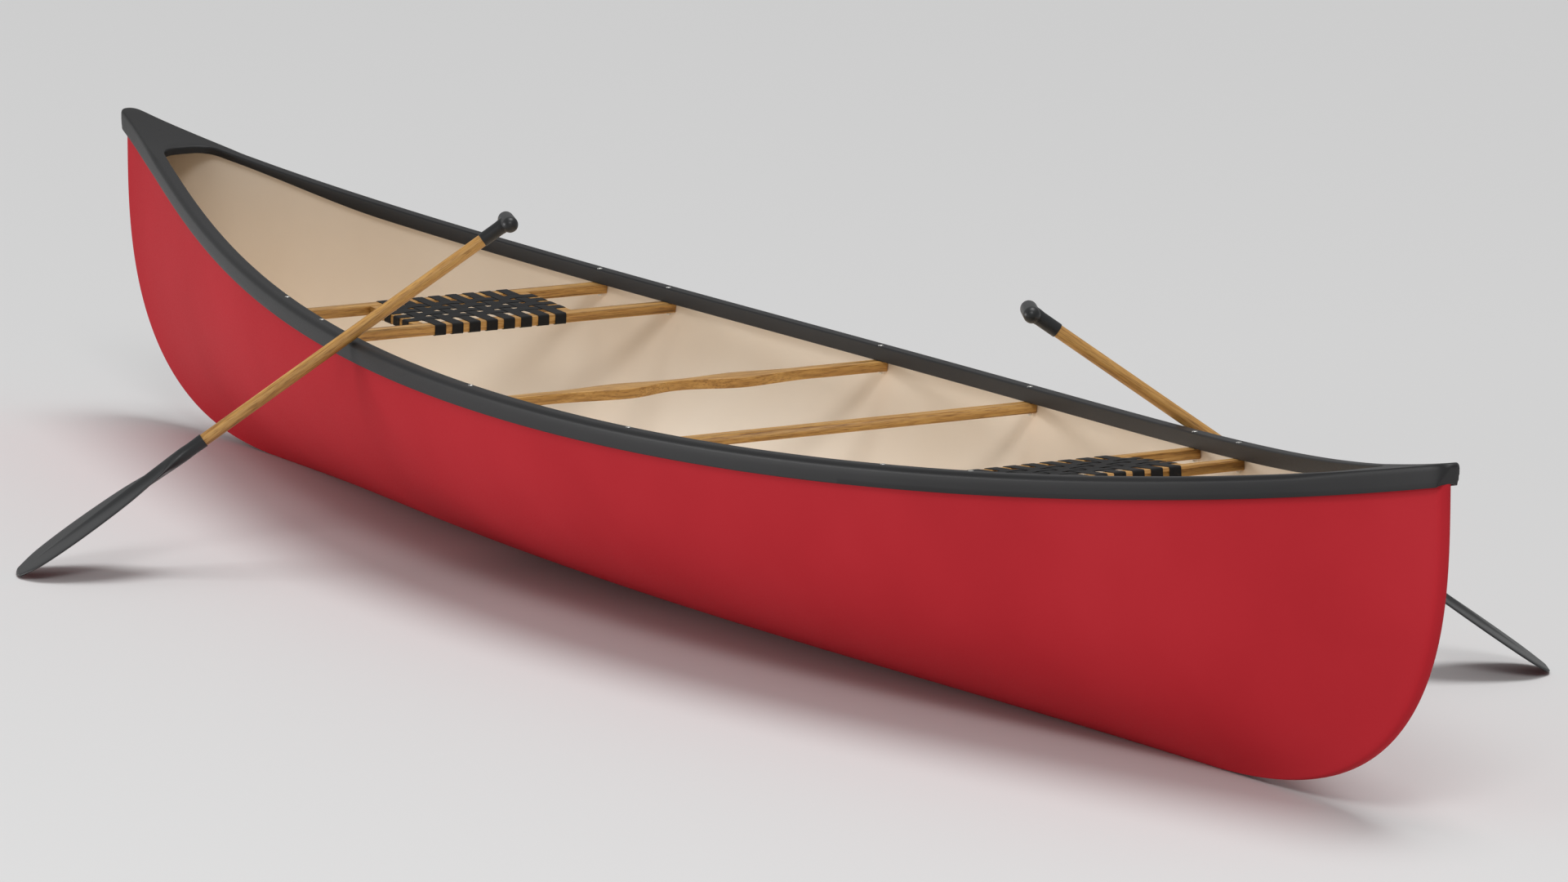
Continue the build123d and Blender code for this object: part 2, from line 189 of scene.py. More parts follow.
def add_node(tree, kind, links=None, **settings):
    """One node with its settings; links gives sockets their source or their value."""
    node = tree.nodes.new(kind)
    for key, value in settings.items():
        setattr(node, key, value)
    for socket, value in (links or {}).items():
        if isinstance(value, bpy.types.NodeSocket):
            tree.links.new(value, node.inputs[socket])
        else:
            node.inputs[socket].default_value = value
    return node


def new_material(name):
    material = bpy.data.materials.new(name)
    material.use_nodes = True
    tree = material.node_tree
    tree.nodes.clear()
    shader = add_node(tree, "ShaderNodeBsdfPrincipled")
    out = add_node(tree, "ShaderNodeOutputMaterial")
    tree.links.new(shader.outputs["BSDF"], out.inputs["Surface"])
    where = add_node(tree, "ShaderNodeTexCoord").outputs["Object"]
    return material, tree, shader, where


def ramp(tree, source, stops):
    """Colour ramp through (place, hex colour) stops."""
    node = add_node(tree, "ShaderNodeValToRGB", {"Fac": source})
    elements = node.color_ramp.elements
    while len(elements) < len(stops):
        elements.new(0.5)
    for element, (place, code) in zip(elements, stops):
        element.position = place
        element.color = srgb(code)
    return node.outputs["Color"]


def moulded_plastic(name, low, mid, high, roughness, grain, depth, gloss):
    """Plastic from a mould: one colour that drifts a little, and a fine even grain that breaks its gloss."""
    material, tree, shader, where = new_material(name)
    drift = add_node(tree, "ShaderNodeTexNoise", {"Vector": where, "Scale": 2.2, "Detail": 3.0})
    colour = ramp(tree, drift.outputs["Fac"], ((0.3, low), (0.5, mid), (0.72, high)))
    specks = add_node(tree, "ShaderNodeTexNoise", {"Vector": where, "Scale": 1 / grain, "Detail": 3.0})
    worn = add_node(tree, "ShaderNodeMapRange", {"Value": specks.outputs["Fac"], "From Min": 0.3,
                    "From Max": 0.7, "To Min": roughness - 0.05, "To Max": roughness + 0.06})
    bump = add_node(tree, "ShaderNodeBump", {"Height": specks.outputs["Fac"], "Strength": 0.35,
                    "Distance": depth})
    tree.links.new(colour, shader.inputs["Base Color"])
    tree.links.new(worn.outputs["Result"], shader.inputs["Roughness"])
    tree.links.new(bump.outputs["Normal"], shader.inputs["Normal"])
    shader.inputs["Specular IOR Level"].default_value = gloss
    return material


def red_polyethylene():
    """Rotomoulded polyethylene, red through: a satin skin with a faint orange peel about 3 mm across."""
    return moulded_plastic("red_polyethylene", "#B4262F", "#BA2932", "#BF2D36", 0.60, 3 * MM, 0.25 * MM, 0.05)


def cream_liner():
    """Cream inner skin, matt and faintly pebbled, so that light spreads softly over it."""
    return moulded_plastic("cream_liner", "#EEDFCC", "#F2E4D2", "#F5E9D9", 0.62, 2.5 * MM, 0.3 * MM, 0.15)


def black_vinyl():
    """Extruded vinyl: near black with a soft sheen and a fine matt grain."""
    return moulded_plastic("black_vinyl", "#202021", "#242425", "#282829", 0.45, 1.6 * MM, 0.12 * MM, 0.25)


def paddle_plastic():
    """Injection moulded nylon: near black, a little glossier than the gunwales."""
    return moulded_plastic("paddle_nylon", "#222324", "#262728", "#2B2C2D", 0.38, 1.4 * MM, 0.08 * MM, 0.4)


def oiled_ash(name, along):
    """Oiled ash: straight grain along the piece, pale early wood and brown late wood, a dull gloss."""
    material, tree, shader, where = new_material(name)
    turn = Vector(along).rotation_difference(Vector((0, 1, 0))).to_euler()
    turned = add_node(tree, "ShaderNodeMapping", {"Vector": where, "Rotation": turn})
    rings = add_node(tree, "ShaderNodeMapping", {"Vector": turned.outputs["Vector"],
                     "Scale": (1 / (7 * MM), 1 / (160 * MM), 1 / (7 * MM))})
    pores = add_node(tree, "ShaderNodeMapping", {"Vector": turned.outputs["Vector"],
                     "Scale": (1 / (1.6 * MM), 1 / (30 * MM), 1 / (1.6 * MM))})
    bands = add_node(tree, "ShaderNodeTexNoise", {"Vector": rings.outputs["Vector"], "Scale": 1.0,
                     "Detail": 2.5, "Roughness": 0.55, "Distortion": 0.35})
    lines = add_node(tree, "ShaderNodeTexNoise", {"Vector": pores.outputs["Vector"], "Scale": 1.0,
                     "Detail": 3.0, "Roughness": 0.6})
    wood = ramp(tree, bands.outputs["Fac"], ((0.32, "#A0743A"), (0.46, "#B98A48"), (0.6, "#C69854"),
                                              (0.75, "#CFA362")))
    dark = ramp(tree, lines.outputs["Fac"], ((0.34, "#8C6034"), (0.5, "#FFFFFF")))
    mixed = add_node(tree, "ShaderNodeMix", data_type="RGBA", blend_type="MULTIPLY")
    mixed.inputs["Factor"].default_value = 0.55
    tree.links.new(wood, mixed.inputs[6])
    tree.links.new(dark, mixed.inputs[7])
    bump = add_node(tree, "ShaderNodeBump", {"Height": lines.outputs["Fac"], "Strength": 0.4,
                    "Distance": 0.15 * MM})
    gloss = add_node(tree, "ShaderNodeMapRange", {"Value": bands.outputs["Fac"], "To Min": 0.52,
                     "To Max": 0.38})
    tree.links.new(mixed.outputs[2], shader.inputs["Base Color"])
    tree.links.new(bump.outputs["Normal"], shader.inputs["Normal"])
    tree.links.new(gloss.outputs["Result"], shader.inputs["Roughness"])
    return material


def nylon_webbing():
    """Woven nylon strap: slanted ribs about 3 mm apart, coarser than real so that they show."""
    material, tree, shader, _ = new_material("nylon_webbing")
    strap_uv = add_node(tree, "ShaderNodeTexCoord").outputs["UV"]
    along = add_node(tree, "ShaderNodeMapping", {"Vector": strap_uv, "Scale": (1 / 2.4, 1 / 3.0, 1.0)})
    ribs = add_node(tree, "ShaderNodeTexWave", {"Vector": along.outputs["Vector"], "Scale": 0.5,
                    "Distortion": 0.6, "Detail": 1.0}, wave_type="BANDS", bands_direction="DIAGONAL")
    fuzz = add_node(tree, "ShaderNodeTexNoise", {"Vector": strap_uv, "Scale": 0.6, "Detail": 3.0})
    mixed = add_node(tree, "ShaderNodeMath", {0: ribs.outputs["Fac"], 1: fuzz.outputs["Fac"]},
                     operation="MULTIPLY")
    colour = ramp(tree, mixed.outputs["Value"], ((0.05, "#111112"), (0.35, "#1B1B1C"), (0.7, "#262627")))
    bump = add_node(tree, "ShaderNodeBump", {"Height": mixed.outputs["Value"], "Strength": 0.6,
                    "Distance": 0.4 * MM})
    tree.links.new(colour, shader.inputs["Base Color"])
    tree.links.new(bump.outputs["Normal"], shader.inputs["Normal"])
    shader.inputs["Roughness"].default_value = 0.7
    shader.inputs["Specular IOR Level"].default_value = 0.2
    shader.inputs["Sheen Weight"].default_value = 0.03
    return material


def stainless_steel():
    """Stainless bolts, washers and nuts: bright metal whose polish is finely uneven."""
    material, tree, shader, where = new_material("stainless_steel")
    mottle = add_node(tree, "ShaderNodeTexNoise", {"Vector": where, "Scale": 1 / (1.2 * MM), "Detail": 2.0})
    shine = add_node(tree, "ShaderNodeMapRange", {"Value": mottle.outputs["Fac"], "To Min": 0.22,
                     "To Max": 0.38})
    tree.links.new(shine.outputs["Result"], shader.inputs["Roughness"])
    shader.inputs["Base Color"].default_value = srgb("#D9D8D4")
    shader.inputs["Metallic"].default_value = 1.0
    return material


# ---------------------------------------------------------------- the hull's lines

def plan_breadth(x, half_length, half_beam, nose):
    """Half breadth at x of a pointed plan with a round nose."""
    t = min(abs(x) / half_length, 1.0)
    body = (half_beam - nose) * (1 - t**PLAN_POWER) ** PLAN_FINENESS
    return body + nose * sqrt(max(1 - t ** (2 * half_length / nose), 0.0))


def rail_edge(x):
    return plan_breadth(x, HALF_LENGTH, HALF_BEAM, NOSE)


def sheer(x):
    t = abs(x) / HALF_LENGTH
    rise = (1 - SHEER_KICK) * t**SHEER_POWER + SHEER_KICK * t ** (2 * SHEER_POWER)
    return DEPTH_MID + (DEPTH_END - DEPTH_MID) * rise


def section_breadth(level):
    rise = min(level / DEPTH_MID, 1.0)
    curve = (1 - (1 - rise) ** BILGE_FULLNESS) ** (1 / BILGE_ROUND)
    return KEEL_FLAT + (HALF_BEAM - LIP - KEEL_FLAT) * curve


def stem_reach(level):
    drop = max(1 - level / STEM_TOP, 0.0)
    return STEM_AT - STEM_RAKE * (1 - (1 - drop**STEM_POWER) ** (1 / STEM_POWER))


KEEL_SHARE = 0.05         # share of the grid that is the flat of the keel
END_CROWDING = 2.6        # how much closer the grid's lines are near the stems
LOW_CROWDING = 1.5        # and near the keel


def hull_skin(name, inset, drop, thickness):
    """Shell of the hull's form, from the sheer at port, round the keel, to the sheer at starboard."""
    def place(u, v):
        end = 1 - (1 - abs(u)) ** END_CROWDING
        station = end if u > 0 else -end
        climb = abs(v)
        side = 1 if v < 0 else -1
        top = sheer(station * STEM_AT) - drop - inset
        level = 0.0
        share = climb / KEEL_SHARE
        if climb > KEEL_SHARE:
            level = top * ((climb - KEEL_SHARE) / (1 - KEEL_SHARE)) ** LOW_CROWDING
            share = 1.0
        reach = stem_reach(level) - inset
        breadth = plan_breadth(station * reach, reach, section_breadth(level) - inset, STEM_NOSE - inset)
        return (station * reach, side * share * breadth, level + inset)
    skin = shaped_grid(name, 220, 120, place)
    tidy_mesh(skin)
    apply_modifier(skin, "SOLIDIFY", thickness=thickness, offset=-1.0, use_even_offset=False)
    smooth(skin, 50)
    return skin


# ---------------------------------------------------------------- gunwales and decks

def along_path(points):
    """Function of a share from 0 to 1 that walks a line of points at an even pace."""
    points = [Vector(p) for p in points]
    lengths = [0.0]
    for a, b in zip(points, points[1:]):
        lengths.append(lengths[-1] + (b - a).length)

    def walk(share):
        goal = min(max(share, 0.0), 1.0) * lengths[-1]
        i = 0
        while i < len(points) - 2 and lengths[i + 1] < goal:
            i += 1
        span = lengths[i + 1] - lengths[i]
        return points[i].lerp(points[i + 1], (goal - lengths[i]) / span if span else 0.0)
    walk.length = lengths[-1]
    return walk


OUTER_ROUND = 0.011
INNER_ROUND = 0.004
GROOVE = (0.0077, 0.0143)      # clear slot for the hull's edge, from the outer face
SLOT_PLAY = 0.0002             # the slot's top above the hull's edge
FOOT_EASE = 0.0012             # how the outer face is eased where it meets its foot
NOSE_SLOPE = 42 / 72           # how far the deck's tip goes back for each metre down
NOSE_TOP = 0.006               # where that starts below the tip
NOSE_WALL = 0.004              # the deck's thickness there


def eased(share):
    """Share from 0 to 1 that starts and ends slowly."""
    share = min(max(share, 0.0), 1.0)
    return share * share * (3 - 2 * share)


def rim_profile(lip_width, lip_depth):
    """Closed section of the rim: share of the way from outer to inner edge, inset, drop from the sheer."""
    arc = [i / 6 * pi / 2 for i in range(7)]
    slot_top = RAIL_CROWN + SLOT_PLAY
    section = [(0, GROOVE[0], RAIL_OUTER), (0, 2 * FOOT_EASE, RAIL_OUTER)]
    section += [(0, FOOT_EASE * (k / 3 - 1) ** 2, RAIL_OUTER - FOOT_EASE - 0.009 * k) for k in (0, 1, 2)]
    section += [(0, OUTER_ROUND * (1 - cos(a)), OUTER_ROUND * (1 - sin(a))) for a in arc]
    ease = OUTER_ROUND + INNER_ROUND
    section += [(k / 8, OUTER_ROUND - ease * k / 8, 0) for k in range(1, 8)]
    section += [(1, -INNER_ROUND * (1 - sin(a)), INNER_ROUND * (1 - cos(a))) for a in arc]
    section += [(1, 0, lip_depth - 0.001), (1, -0.001, lip_depth), (1, -lip_width, lip_depth)]
    section += [(1, -lip_width, slot_top)]
    section += [(1 - k / 4, (GROOVE[0] + lip_width) * k / 4 - lip_width, slot_top) for k in (1, 2, 3)]
    section += [(0, GROOVE[0], slot_top), (0, GROOVE[0], RAIL_OUTER)]
    return section


RIM_POINTS = len(rim_profile(0.01, 0.03))


def rim_point(outer, inner, lip_width, lip_depth, v):
    """A point of the rim's section that stands between an outer and an inner edge point."""
    share, inset, drop = rim_profile(lip_width, lip_depth)[round((v + 1) / 2 * (RIM_POINTS - 1))]
    reach = inner - outer
    spot = outer + reach * share + reach.normalized() * inset
    height = sheer(spot.x) - drop
    nose_limit = HALF_LENGTH - NOSE_SLOPE * (DEPTH_END - NOSE_TOP - height)
    if inset >= GROOVE[0] and drop > RAIL_CROWN:
        nose_limit -= NOSE_WALL
    if abs(spot.x) > nose_limit:
        spot.x = nose_limit if spot.x > 0 else -nose_limit
    return (spot.x, spot.y, height)


def close_holes(piece):
    pick(piece)
    bpy.ops.object.mode_set(mode="EDIT")
    bpy.ops.mesh.select_all(action="SELECT")
    bpy.ops.mesh.fill_holes(sides=0)
    bpy.ops.mesh.normals_make_consistent(inside=False)
    bpy.ops.object.mode_set(mode="OBJECT")


def gunwale(name, side):
    """Vinyl channel that straddles the hull's edge, its inner lip shallower towards the two decks."""
    def place(u, v):
        x = u * DECK_START
        outer = Vector((x, side * rail_edge(x)))
        inner = Vector((x, side * (rail_edge(x) - RAIL_WIDTH)))
        slim = eased((abs(x) - LIP_TAPER) / (DECK_START - LIP_TAPER))
        depth = RAIL_INNER * (1 - slim) + DECK_LIP * slim
        return rim_point(outer, inner, RAIL_WIDTH - GROOVE[1], depth, v)
    rail = shaped_grid(name, 240, RIM_POINTS - 1, place)
    tidy_mesh(rail)
    close_holes(rail)
    smooth(rail, 40)
    return rail


def deck(name, end):
    """Moulded deck: its skirt and lip carry on the gunwales' section and meet at the nose."""
    outer_line = [(DECK_START, rail_edge(DECK_START))]
    for i in range(1, 401):
        x = DECK_START + (HALF_LENGTH - DECK_START) * (1 - (1 - i / 400) ** 3)
        outer_line.append((x, rail_edge(x)))
    outer_at = along_path(outer_line)
    turn = DECK_EDGE - DECK_CORNER
    side_line = [DECK_START + (turn - DECK_START) * i / 20 for i in range(21)]
    inner_line = [(x, rail_edge(x) - RAIL_WIDTH) for x in side_line]
    a = Vector(inner_line[-1])
    b = Vector((DECK_EDGE, rail_edge(DECK_EDGE) - RAIL_WIDTH))
    c = Vector((DECK_EDGE, b.y - DECK_CORNER))
    for i in range(1, 13):
        t = i / 12
        inner_line.append(a * (1 - t) ** 2 + b * 2 * t * (1 - t) + c * t * t)
    inner_line.append((DECK_EDGE, 0.0))
    inner_at = along_path(inner_line)

    def place(u, v):
        share = 1 - (abs(u)) ** 1.5
        outer = outer_at(share)
        inner = inner_at(share)
        slim = eased((inner.x - DECK_START) / (DECK_EDGE - DECK_START))
        width = (RAIL_WIDTH - GROOVE[1]) * (1 - slim) + 0.006 * slim
        x, y, z = rim_point(outer, inner, width, DECK_LIP, v)
        return (end * x, (1 if u < 0 else -1) * y, z)
    plate = shaped_grid(name, 240, RIM_POINTS - 1, place)
    tidy_mesh(plate)
    close_holes(plate)
    smooth(plate, 40)
    return plate


# ---------------------------------------------------------------- wood and webbing

def smooth_copy(node, name, bevel=0.0):
    """Own smooth copy of a CAD piece, merged where its faces meet, its edges eased by the bevel."""
    clear_selection()
    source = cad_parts[node]
    copy = bpy.data.objects.new(name, source.data.copy())
    bpy.context.scene.collection.objects.link(copy)
    copy.data.name = name
    tidy_mesh(copy)
    if bevel:
        apply_modifier(copy, "BEVEL", width=bevel, segments=3, limit_method="ANGLE",
                       angle_limit=radians(40), use_clamp_overlap=True)
    smooth(copy, 35)
    return copy


def seat_frame(bars):
    """Seat's plane as a matrix, x forward and z up, and half the distance between its bars."""
    rear, front = sorted(bars)
    slope = atan2(sheer(front) - sheer(rear), front - rear)
    middle = ((front + rear) / 2, 0, (sheer(front) + sheer(rear)) / 2 - RAIL_INNER)
    half = sqrt((front - rear) ** 2 + (sheer(front) - sheer(rear)) ** 2) / 2
    return Matrix.Translation(middle) @ Matrix.Rotation(-slope, 4, "Y"), half


WEAVE = 0.0009
STRAP_BEND = 0.003


def strap_line(reach, top, depth, crossings):
    """Middle of a strap's thickness, side view: tab, up over one wood, across the weave, down and tab."""
    edge = reach + STRAP_THICK / 2
    under = top - depth - STRAP_THICK
    over = top
    half = [(reach - STRAP_TAB, under)]
    for centre, start in (((edge - STRAP_BEND, under + STRAP_BEND), -pi / 2),
                          ((edge - STRAP_BEND, over - STRAP_BEND), 0.0)):
        for i in range(9):
            a = start + i / 8 * pi / 2
            half.append((centre[0] + STRAP_BEND * cos(a), centre[1] + STRAP_BEND * sin(a)))
    first = crossings[0][0]
    stops = [(-reach + 0.004, over), (first - 0.028, over), *crossings, (-first + 0.028, over),
             (reach - 0.004, over)]
    middle = []
    for (x0, z0), (x1, z1) in zip(stops, stops[1:]):
        for i in range(8):
            t = i / 8
            middle.append((x0 + (x1 - x0) * t, z0 + (z1 - z0) * (0.5 - 0.5 * cos(pi * t))))
    left = [(-x, z) for x, z in half]
    return left + middle + [stops[-1]] + half[::-1]


def strap(name, line, offset, matrix, crosswise):
    """One woven strap of webbing along its line, offset across it, with its own map in millimetres."""
    walk = along_path([(x, z) for x, z in line])
    steps = round(walk.length / 0.0022)

    def place(u, v):
        along, height = walk((u + 1) / 2)
        across = offset + v * STRAP / 2
        edge = 0.00025 * abs(v) ** 6
        spot = (across, along, height - edge) if crosswise else (along, across, height - edge)
        return matrix @ Vector(spot)
    band = shaped_grid(name, steps, 10, place)
    for loop in band.data.uv_layers.active.data:
        loop.uv = (loop.uv.x * walk.length / MM, loop.uv.y * STRAP / MM)
    apply_modifier(band, "SOLIDIFY", thickness=0.0014, offset=0.0)
    return band


def seat_webbing(seat, bars, webbing):
    """Plain weave of eight long and four cross straps, each pulled round the wood and tacked under it."""
    matrix, half = seat_frame(bars)
    long_at = [(i - (LONG_STRAPS - 1) / 2) * LONG_PITCH for i in range(LONG_STRAPS)]
    cross_at = [(i - (CROSS_STRAPS - 1) / 2) * CROSS_PITCH for i in range(CROSS_STRAPS)]
    long_straps = []
    for i, y in enumerate(long_at):
        crossings = [(x, WEAVE * (-1) ** (i + j)) for j, x in enumerate(cross_at)]
        line = strap_line(half + BAR_WIDTH / 2, 0.5 * STRAP_THICK, BAR_DEPTH, crossings)
        long_straps.append(strap(f"{seat}_long_strap_{i}", line, y, matrix, False))
    cross_straps = []
    for j, x in enumerate(cross_at):
        crossings = [(y, -WEAVE * (-1) ** (i + j)) for i, y in enumerate(long_at)]
        line = strap_line(SIDE_RAIL_CENTRE + SIDE_RAIL[0] / 2, -0.5 * STRAP_THICK, SIDE_RAIL[1], crossings)
        cross_straps.append(strap(f"{seat}_cross_strap_{j}", line, x, matrix, True))
    for parts, kind in ((long_straps, "long"), (cross_straps, "cross")):
        woven = joined(parts, f"{seat}_{kind}_webbing")
        tidy_mesh(woven, 0.000001)
        smooth(woven, 45)
        finish_piece(woven, "hull", webbing, "webbing", f"{seat}_{kind}_straps")


# ---------------------------------------------------------------- bolts

BAR_PLACES = (*BOW_SEAT, 0.117, -0.458, *STERN_SEAT)
BOLT_INSET = 0.024
HEAD_RADIUS = 0.0055


def bolt_places():
    return [(x, side * (rail_edge(x) - BOLT_INSET)) for x in BAR_PLACES for side in (1, -1)]


def lathe(name, outline, sides=40):
    """Piece turned about z from its outline of (radius, height) points, closed at both ends."""
    def place(u, v):
        radius, height = outline[round((v + 1) / 2 * (len(outline) - 1))]
        return (radius * cos(pi * u), radius * sin(pi * u), height)
    piece = shaped_grid(name, sides, len(outline) - 1, place)
    tidy_mesh(piece)
    close_holes(piece)
    return piece


def set_out(piece, places, name):
    """Copies of a piece at every place, joined in one."""
    copies = []
    for i, place in enumerate(places):
        copy = piece.copy()
        copy.data = piece.data.copy()
        copy.data.transform(Matrix.Translation(place))
        bpy.context.scene.collection.objects.link(copy)
        copies.append(copy)
    bpy.data.objects.remove(piece)
    return joined(copies, name)


def bolt_set(steel):
    """Dome headed bolts down through gunwale and crossbar, each with a washer and a nut below."""
    dome = [(HEAD_RADIUS * cos(a), 0.0012 * sin(a)) for a in (i / 6 * pi / 2 for i in range(6))]
    outline = [(0.0, -0.0561), (0.0021, -0.0561), (0.0025, -0.0556), (0.0025, -0.002), (0.0054, -0.002),
               (HEAD_RADIUS, -0.0018), *dome, (0.0, 0.0012)]
    spots = [Vector((x, y, sheer(x))) for x, y in bolt_places()]
    bolts = set_out(lathe("bolt", outline), spots, "gunwale_bolt_set")
    hole = 0.0026
    rim = 0.005
    washer = lathe("washer", [(hole, 0.0), (rim, 0.0), (rim, -0.0012), (hole, -0.0012), (hole, 0.0)])
    under = Vector((0, 0, -RAIL_INNER - BAR_DEPTH - 0.0008))
    washers = set_out(washer, [s + under for s in spots], "bolt_washer_set")
    clear_selection()
    bpy.ops.mesh.primitive_cylinder_add(vertices=6, radius=0.0046, depth=0.0045, location=(0, 0, -0.00345))
    bpy.ops.object.transform_apply()
    nut = name_piece("nut")
    apply_modifier(nut, "BEVEL", width=0.0004, segments=2)
    nuts = set_out(nut, [s + under for s in spots], "bolt_nut_set")
    for piece, node in ((bolts, "gunwale_bolts"), (washers, "bolt_washers"), (nuts, "bolt_nuts")):
        tidy_mesh(piece, 0.000001)
        smooth(piece, 40)
        finish_piece(piece, "hull", steel, "bolt_steel", node)


# ---------------------------------------------------------------- paddles

BLADE_OUTLINE = ((0, 0), (0.003, 0.024), (0.014, 0.046), (0.060, 0.080), (0.150, 0.092), (0.260, 0.078),
                 (0.345, 0.036), (0.395, 0.0155), (0.450, 0.014))


BLADE_EDGE = 0.0029       # half the blade's thickness near its rim
SPINE_TIP = 0.0015        # half the spine's height where it starts
SPINE_GROWTH = 0.0125     # and how much it gains on the way to the socket


def curve_through(points, t):
    """Point at t from 0 to 1 of a smooth curve through points."""
    position = min(t, 0.99999) * (len(points) - 1)
    i = int(position)
    f = position - i
    p0, p1, p2, p3 = (Vector(points[min(max(i + k, 0), len(points) - 1)]) for k in (-1, 0, 1, 2))
    return (p1 * 2 + (p2 - p0) * f + (p0 * 2 - p1 * 5 + p2 * 4 - p3) * f * f
            + (p1 * 3 - p0 - p2 * 3 + p3) * f**3) / 2


def paddle_frame(name):
    """Matrix of a paddle: x from the tip to the grip, y across its blade and level, and its length."""
    tip, grip = (Vector(p) for p in PADDLES[name])
    along = (grip - tip).normalized()
    across = Vector((0, 0, 1)).cross(along).normalized()
    matrix = Matrix((along, across, along.cross(across))).transposed().to_4x4()
    matrix.translation = tip
    return matrix, (grip - tip).length


def paddle_blade(name, matrix):
    """Moulded blade: thin rounded rim, a spine that grows out of both faces into the shaft's socket."""
    def place(u, v):
        run, half_width = curve_through(BLADE_OUTLINE, ((u + 1) / 2))
        half_width = max(half_width, 0.0)
        across = half_width * cos(pi * v)
        edge = BLADE_EDGE * sqrt(max(1 - abs(cos(pi * v)) ** 10, 0)) * min(1, run / 0.006) ** 0.5
        grown = min(max((run - 0.016) / 0.384, 0.0), 1.0)
        spine = SPINE_TIP + SPINE_GROWTH * grown**0.9
        bump = max(spine - BLADE_EDGE, 0.0) * (0.5 + 0.5 * cos(pi * min(abs(across) / (2.1 * spine), 1)))
        socket = eased((run - 0.330) / 0.065)
        flat = edge + bump * min(1, (1 - abs(cos(pi * v))) * 6)
        round_part = min(half_width, spine) * abs(sin(pi * v))
        lift = flat * (1 - socket) + round_part * socket
        return matrix @ Vector((run, across, lift * (1 if v > 0 else -1)))
    blade = shaped_grid(f"{name}_blade_moulding", 180, 96, place)
    tidy_mesh(blade)
    close_holes(blade)
    smooth(blade, 50)
    return blade


def turned(name, outline, matrix, sides=56):
    """Round piece turned about the paddle's own x from (distance, radius) points."""
    piece = lathe(name, [(radius, distance) for distance, radius in outline], sides)
    piece.data.transform(matrix @ Matrix.Rotation(pi / 2, 4, "Y"))
    tidy_mesh(piece)
    return piece


def paddle(name, wood, plastic):
    """A paddle: wooden shaft between a moulded blade and a T grip."""
    matrix, length = paddle_frame(name)
    blade = paddle_blade(name, matrix)
    finish_piece(blade, name, plastic, "paddle_black", f"{name}_blade")
    start = BLADE_LENGTH + SOCKET_RUN - SHAFT_OVERLAP
    begin = length - SLEEVE_LENGTH
    stop = length - SLEEVE_LENGTH + SHAFT_OVERLAP
    rod = [(start, 0), (start, SHAFT_RADIUS), (stop, SHAFT_RADIUS), (stop, 0)]
    shaft = turned(f"{name}_ash_shaft", rod, matrix)
    smooth(shaft, 40)
    finish_piece(shaft, name, wood, "ash_wood", f"{name}_shaft")
    socket = [(begin, 0), (begin, 0.0132), (begin + 0.0008, SLEEVE_RADIUS), (length - 0.022, SLEEVE_RADIUS),
              (length - 0.014, 0.0148), (length, 0.0150), (length + 0.002, 0)]
    sleeve = turned(f"{name}_grip_moulding", socket, matrix)
    arc = [i / 12 * pi / 2 for i in range(13)]
    cap = [(GRIP_HALF + GRIP_RADIUS * sin(a), GRIP_RADIUS * cos(a)) for a in arc]
    across = matrix @ Matrix.Translation((length, 0, 0)) @ Matrix.Rotation(pi / 2, 4, "Z")
    bar = turned(f"{name}_grip_bar", [(-d, r) for d, r in cap[::-1]] + cap, across)
    apply_modifier(sleeve, "BOOLEAN", object=bar, operation="UNION", solver="EXACT")
    bpy.data.objects.remove(bar)
    tidy_mesh(sleeve)
    apply_modifier(sleeve, "BEVEL", width=0.0015, segments=3, limit_method="ANGLE", angle_limit=radians(35))
    smooth(sleeve, 40)
    finish_piece(sleeve, name, plastic, "paddle_black", f"{name}_grip")


# ---------------------------------------------------------------- put together

red = red_polyethylene()
cream = cream_liner()
vinyl = black_vinyl()
crosswise_ash = oiled_ash("crosswise_ash", (0, 1, 0))
lengthwise_ash = oiled_ash("lengthwise_ash", (1, 0, 0))
webbing = nylon_webbing()
steel = stainless_steel()
nylon = paddle_plastic()

outer_skin = hull_skin("hull_outer_skin", 0.0, RAIL_CROWN, SKIN)
finish_piece(outer_skin, "hull", red, "hull_red", "hull_shell")
inner_skin = hull_skin("hull_inner_skin", SKIN, RAIL_CROWN, LINER)
finish_piece(inner_skin, "hull", cream, "liner_cream", "hull_liner")
finish_piece(gunwale("port_gunwale_channel", 1), "hull", vinyl, "vinyl_black", "gunwale_port")
finish_piece(gunwale("starboard_gunwale_channel", -1), "hull", vinyl, "vinyl_black", "gunwale_starboard")
finish_piece(deck("bow_deck_moulding", 1), "hull", vinyl, "vinyl_black", "bow_deck")
finish_piece(deck("stern_deck_moulding", -1), "hull", vinyl, "vinyl_black", "stern_deck")

finish_piece(smooth_copy("yoke", "carved_yoke", 0.0022), "hull", crosswise_ash, "ash_wood", "yoke")
finish_piece(smooth_copy("thwart", "centre_thwart"), "hull", crosswise_ash, "ash_wood", "thwart")
for seat, bars in (("bow_seat", BOW_SEAT), ("stern_seat", STERN_SEAT)):
    for end in ("front_bar", "rear_bar"):
        bar = smooth_copy(f"{seat}_{end}", f"{seat}_{end}_ash")
        finish_piece(bar, "hull", crosswise_ash, "ash_wood", f"{seat}_{end}")
    for side in ("port_rail", "starboard_rail", "dowels"):
        rail = smooth_copy(f"{seat}_{side}", f"{seat}_{side}_ash", 0.0008)
        finish_piece(rail, "hull", lengthwise_ash, "ash_wood", f"{seat}_{side}")
    seat_webbing(seat, bars, webbing)
bolt_set(steel)
for name in PADDLES:
    along = Vector(PADDLES[name][1]) - Vector(PADDLES[name][0])
    paddle(name, oiled_ash(f"{name}_ash", along.normalized()), nylon)


# ---------------------------------------------------------------- floor, light and camera

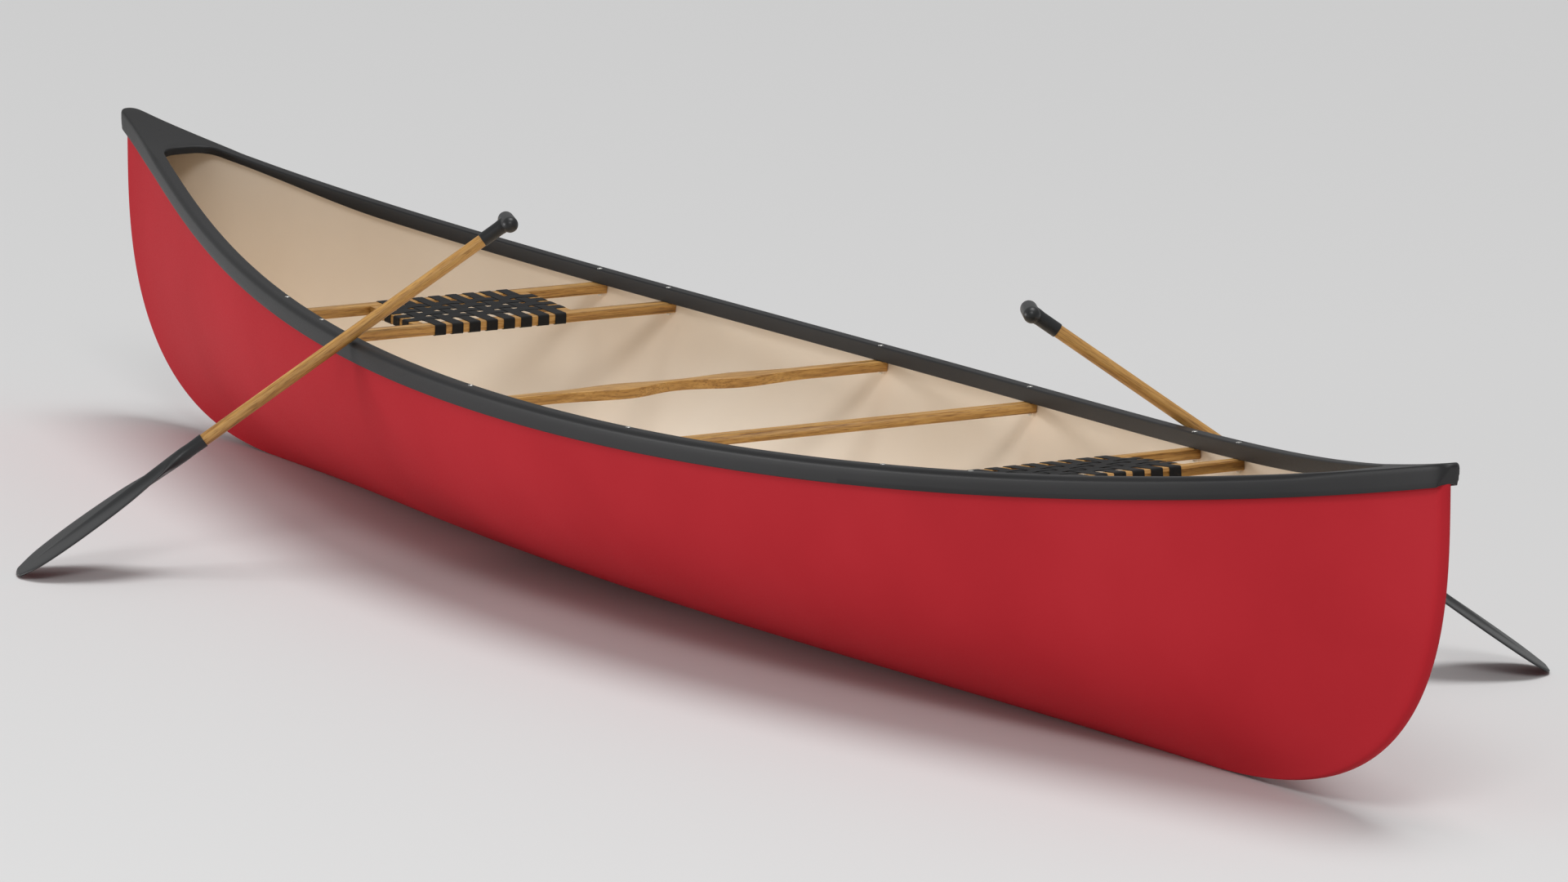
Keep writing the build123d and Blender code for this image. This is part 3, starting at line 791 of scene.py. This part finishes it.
def pale_floor():
    """Smooth pale floor that runs on past the view."""
    clear_selection()
    bpy.ops.mesh.primitive_plane_add(size=100)
    floor = name_piece("studio_floor")
    material, tree, shader, _ = new_material("matt_grey_floor")
    shader.inputs["Base Color"].default_value = srgb("#D4D4D4")
    shader.inputs["Roughness"].default_value = 0.9
    shader.inputs["Specular IOR Level"].default_value = 0.15
    floor.data.materials.append(material)


def soft_box(name, place, aim, size, power, colour="#FFFFFF"):
    """Large area light at a place, turned to its aim."""
    clear_selection()
    bpy.ops.object.light_add(type="AREA", location=place)
    light = bpy.context.object
    light.name = name
    light.data.shape = "RECTANGLE"
    light.data.size = size[0]
    light.data.size_y = size[1]
    light.data.energy = power
    light.data.color = srgb(colour)[:3]
    light.rotation_euler = (Vector(aim) - Vector(place)).to_track_quat("-Z", "Y").to_euler()


pale_floor()
clear_selection()
bpy.ops.object.light_add(type="SUN", location=(0.2, -0.3, 6.0))
key = bpy.context.object
key.name = "overhead_key"
key.data.energy = 1.7
key.data.angle = radians(32)
key.rotation_euler = Vector((0.0, -0.14, 1.0)).to_track_quat("Z", "Y").to_euler()
soft_box("bow_fill", (8.0, 12.0, 1.3), (0.8, 0.3, 0.2), (7.0, 2.0), 620)
soft_box("stern_fill", (-9.0, 5.5, 9.0), (-0.2, 0.0, 0.3), (4.0, 3.5), 420)

world = bpy.data.worlds.new("pale_studio")
bpy.context.scene.world = world
world.use_nodes = True
world.node_tree.nodes["Background"].inputs["Color"].default_value = srgb("#EBEBEB")
world.node_tree.nodes["Background"].inputs["Strength"].default_value = 0.42
bpy.context.scene.view_settings.view_transform = "Standard"

bpy.ops.object.camera_add(location=(-14.6419, 8.5614, 3.3392))
camera = bpy.context.object
camera.name = "main_camera"
right = Vector((-0.51180002, -0.85910232, 0.00198434))
up = Vector((0.15218472, -0.08838851, 0.98439183))
camera.rotation_euler = Matrix((right, up, right.cross(up))).transposed().to_euler()
camera.data.lens = 205.24
camera.data.sensor_width = 36
camera.data.clip_end = 200
bpy.context.scene.camera = camera
